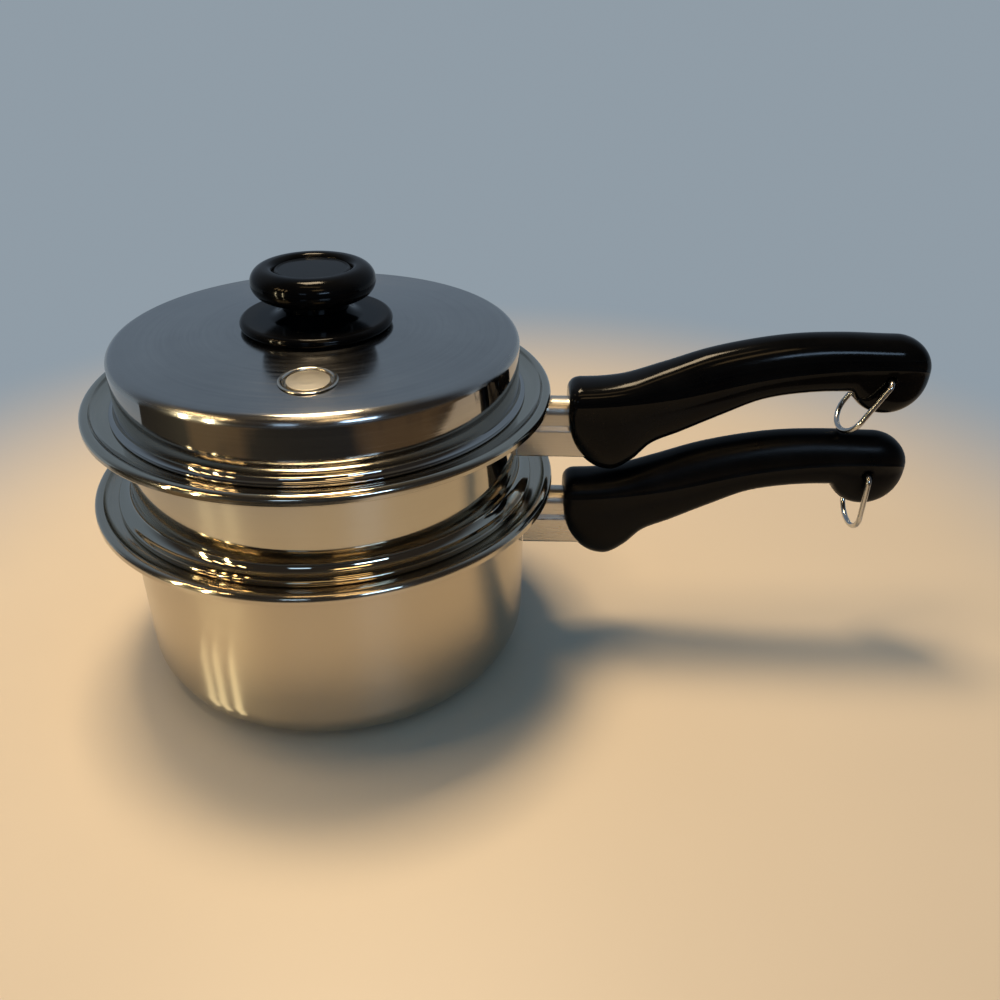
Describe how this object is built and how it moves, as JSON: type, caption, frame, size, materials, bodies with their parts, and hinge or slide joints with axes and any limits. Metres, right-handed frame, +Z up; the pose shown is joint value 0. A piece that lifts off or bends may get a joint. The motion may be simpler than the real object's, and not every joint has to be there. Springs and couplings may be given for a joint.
{
  "type": "saucepan with steamer insert",
  "caption": "Steel saucepan with a perforated steamer insert seated on its rim, a low lid with a round knob and a steam valve, and black curved grips with wire hanging rings.",
  "frame": {"origin": "centre of the pan's base, on the surface it stands on", "axes": "+X along both handles, +Z up, +Y away from the side with the steam valve"},
  "size_m": [0.3943, 0.22, 0.1972],
  "materials": {
    "pan_steel": "satin stainless steel, faint circular brushing",
    "insert_steel": "mirror-polished stainless steel",
    "lid_steel": "circular-brushed top and polished wall, stainless steel",
    "bracket_steel": "polished stainless steel",
    "wire_steel": "bright drawn steel wire",
    "valve_steel": "polished stainless steel",
    "fastener_steel": "plain machined steel",
    "grip_gloss_black": "glossy moulded black phenolic",
    "grip_satin_black": "satin moulded black phenolic",
    "knob_gloss_black": "glossy moulded black phenolic",
    "bush_brass": "turned brass"
  },
  "bodies": {
    "pan": {"pan_body": "pan_steel", "pan_grip": "grip_satin_black", "pan_bracket": "bracket_steel", "pan_bracket_nut": "fastener_steel", "pan_grip_screw": "fastener_steel"},
    "pan_ring": {"pan_hang_ring": "wire_steel"},
    "insert": {"insert_body": "insert_steel", "insert_grip": "grip_gloss_black", "insert_bracket": "bracket_steel", "insert_bracket_nut": "fastener_steel", "insert_grip_screw": "fastener_steel"},
    "insert_ring": {"insert_hang_ring": "wire_steel"},
    "lid": {"lid_shell": "lid_steel", "knob_saucer": "knob_gloss_black", "knob_cap": "knob_gloss_black", "knob_top_disc": "knob_gloss_black", "knob_bush": "bush_brass", "knob_washer": "fastener_steel", "knob_screw": "fastener_steel", "valve_seat": "valve_steel"},
    "valve": {"valve_disc": "valve_steel", "valve_clip": "fastener_steel"}
  },
  "joints": [
    {"name": "insert_lift", "type": "slide", "parent": "pan", "child": "insert", "axis": [0, 0, 1], "range_m": [0, 0.12]},
    {"name": "lid_lift", "type": "slide", "parent": "insert", "child": "lid", "axis": [0, 0, 1], "range_m": [0, 0.1]},
    {"name": "valve_lift", "type": "slide", "parent": "lid", "child": "valve", "axis": [0.007, -0.0597, 0.9982], "range_m": [0, 0.0015]},
    {"name": "pan_ring_swing", "type": "hinge", "parent": "pan", "child": "pan_ring", "pos_m": [0.2635, 0, 0.1], "axis": [0, 1, 0], "range_deg": [-150, 70]},
    {"name": "insert_ring_swing", "type": "hinge", "parent": "insert", "child": "insert_ring", "pos_m": [0.2635, 0, 0.14955], "axis": [0, 1, 0], "range_deg": [0, 42]}
  ]
}
